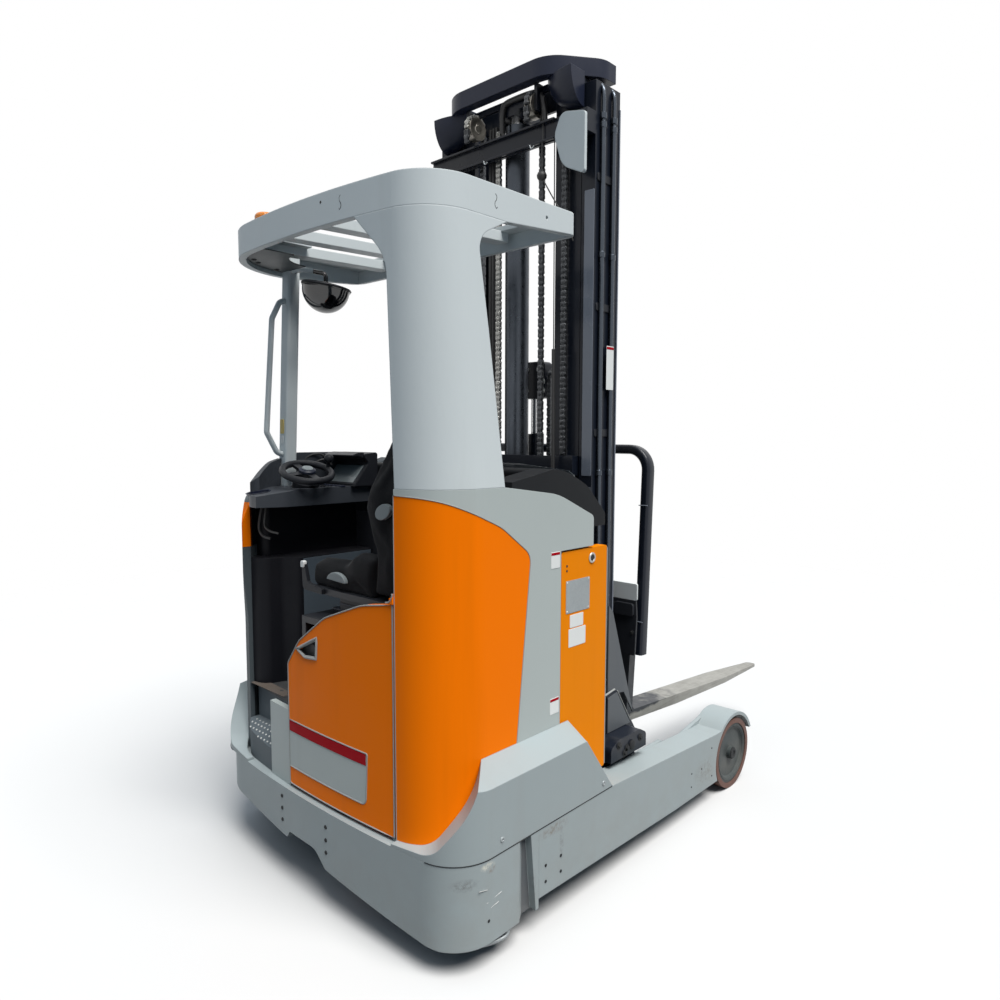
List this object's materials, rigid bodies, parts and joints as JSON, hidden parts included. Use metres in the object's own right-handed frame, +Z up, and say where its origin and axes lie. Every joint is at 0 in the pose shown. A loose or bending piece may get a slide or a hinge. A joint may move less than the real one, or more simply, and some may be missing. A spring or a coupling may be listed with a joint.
{
  "type": "electric reach truck",
  "caption": "Sit-on electric reach truck: sideways driver's cab under an overhead guard, wheel arms, and a reaching triplex mast with side shift and tilting forks",
  "frame": {"origin": "middle of the footprint on the floor", "axes": "+Y points where the forks point, +X is the side of the driver's back, +Z is up"},
  "size_m": [1.27, 2.4146, 2.746],
  "materials": {
    "chassis_grey": "satin grey paint, scuffed along the lower edges",
    "body_grey": "satin light grey paint",
    "pillar_grey": "fine-textured light grey paint",
    "body_orange": "semi-gloss orange paint",
    "black_metal": "satin black paint",
    "mast_black": "semi-gloss blue-black paint with greased running faces",
    "black_plastic": "moulded grained plastic",
    "mat_rubber": "worn studded rubber",
    "seat_fabric": "woven black fabric with grey side inserts",
    "battery_case": "acid-resistant coating",
    "tyre_brown": "solid polyurethane, dusty",
    "hub_dark": "painted casting",
    "chrome_rod": "hard chrome",
    "fork_steel": "rolled steel, paint worn from the top",
    "sheave_steel": "machined casting with dry grease",
    "beacon_amber": "clear moulded lens"
  },
  "bodies": {
    "chassis": {"chassis_frame": "chassis_grey", "wheel_arm_right": "chassis_grey", "wheel_arm_left": "chassis_grey", "fender_right": "chassis_grey", "fender_left": "chassis_grey", "body_shell_right": "body_grey", "corner_panel": "body_orange", "body_shell_left": "body_grey", "side_panel_left": "body_orange", "rear_pillar": "pillar_grey", "overhead_guard": "pillar_grey", "front_pillar": "pillar_grey", "grab_handle": "pillar_grey", "dome_mirror": "black_plastic", "warning_beacon": "beacon_amber", "cab_floor": "mat_rubber", "entry_step": "mat_rubber", "step_panel": "body_grey", "console": "black_plastic", "console_base": "black_plastic", "instrument_panel": "black_plastic", "steering_column": "black_plastic", "seat_base": "black_metal", "seat_cushion": "seat_fabric", "seat_backrest": "seat_fabric", "seat_lever": "black_plastic", "cab_bulkhead": "black_metal", "battery_hood": "black_plastic", "battery": "battery_case", "battery_panels": "body_orange", "drive_mount": "black_metal"},
    "load_wheel_right": {"load_tyre_right": "tyre_brown", "load_hub_right": "hub_dark"},
    "load_wheel_left": {"load_tyre_left": "tyre_brown", "load_hub_left": "hub_dark"},
    "steer_unit": {"drive_unit": "black_metal"},
    "drive_wheel": {"drive_tyre": "tyre_brown", "drive_hub": "hub_dark"},
    "steering_wheel": {"steering_wheel": "black_plastic"},
    "rear_door": {"rear_door": "body_orange", "door_plate": "body_grey"},
    "mast_base": {"reach_carriage": "mast_black", "outer_mast": "mast_black", "mast_badge": "pillar_grey", "lift_cylinder": "mast_black"},
    "middle_stage": {"middle_mast": "mast_black", "lift_rod": "chrome_rod", "mast_cover": "black_plastic", "chain_sheaves": "sheave_steel"},
    "inner_stage": {"inner_mast": "mast_black", "inner_crossbars": "mast_black", "free_lift_cylinder": "mast_black"},
    "crosshead": {"lift_crosshead": "mast_black"},
    "carriage": {"fork_carriage": "mast_black"},
    "shifter": {"side_shifter": "mast_black"},
    "forks": {"fork_frame": "mast_black", "fork_right": "fork_steel", "fork_left": "fork_steel", "load_backrest": "mast_black"}
  },
  "joints": [
    {"name": "load_wheel_right_spin", "type": "hinge", "parent": "chassis", "child": "load_wheel_right", "pos_m": [0.5815, 0.41467, 0.1425], "axis": [1, 0, 0], "continuous": true},
    {"name": "load_wheel_left_spin", "type": "hinge", "parent": "chassis", "child": "load_wheel_left", "pos_m": [-0.5815, 0.41467, 0.1425], "axis": [1, 0, 0], "continuous": true},
    {"name": "steer", "type": "hinge", "parent": "chassis", "child": "steer_unit", "pos_m": [0.13, -0.95533, 0.385], "axis": [0, 0, 1], "range_deg": [-90, 90]},
    {"name": "drive_wheel_spin", "type": "hinge", "parent": "steer_unit", "child": "drive_wheel", "pos_m": [0.13, -0.95533, 0.18], "axis": [1, 0, 0], "continuous": true},
    {"name": "steering_wheel_turn", "type": "hinge", "parent": "chassis", "child": "steering_wheel", "pos_m": [-0.37233, -0.93238, 1.31048], "axis": [0.3289, -0.094, 0.9397], "range_deg": [-360, 360]},
    {"name": "rear_door_hinge", "type": "hinge", "parent": "chassis", "child": "rear_door", "pos_m": [0.374, -1.14983, 0.6], "axis": [0, 0, 1], "range_deg": [0, 100]},
    {"name": "reach", "type": "slide", "parent": "chassis", "child": "mast_base", "axis": [0, 1, 0], "range_m": [0, 0.57]},
    {"name": "main_lift", "type": "slide", "parent": "mast_base", "child": "middle_stage", "axis": [0, 0, 1], "range_m": [0, 1.75]},
    {"name": "inner_lift", "type": "slide", "parent": "middle_stage", "child": "inner_stage", "axis": [0, 0, 1], "range_m": [0, 1.75]},
    {"name": "crosshead_lift", "type": "slide", "parent": "inner_stage", "child": "crosshead", "axis": [0, 0, 1], "range_m": [-0.1075, 0.9]},
    {"name": "free_lift", "type": "slide", "parent": "inner_stage", "child": "carriage", "axis": [0, 0, 1], "range_m": [-0.215, 1.8]},
    {"name": "side_shift", "type": "slide", "parent": "carriage", "child": "shifter", "axis": [1, 0, 0], "range_m": [-0.075, 0.075]},
    {"name": "fork_tilt", "type": "hinge", "parent": "shifter", "child": "forks", "pos_m": [0, 0.01067, 0.78], "axis": [1, 0, 0], "range_deg": [-0.5, 6.5]}
  ],
  "couplings": [
    {"joint": "steering_wheel_turn", "follows": "steer", "ratio": 4},
    {"joint": "inner_lift", "follows": "main_lift", "ratio": 1},
    {"joint": "crosshead_lift", "follows": "free_lift", "ratio": 0.5}
  ]
}
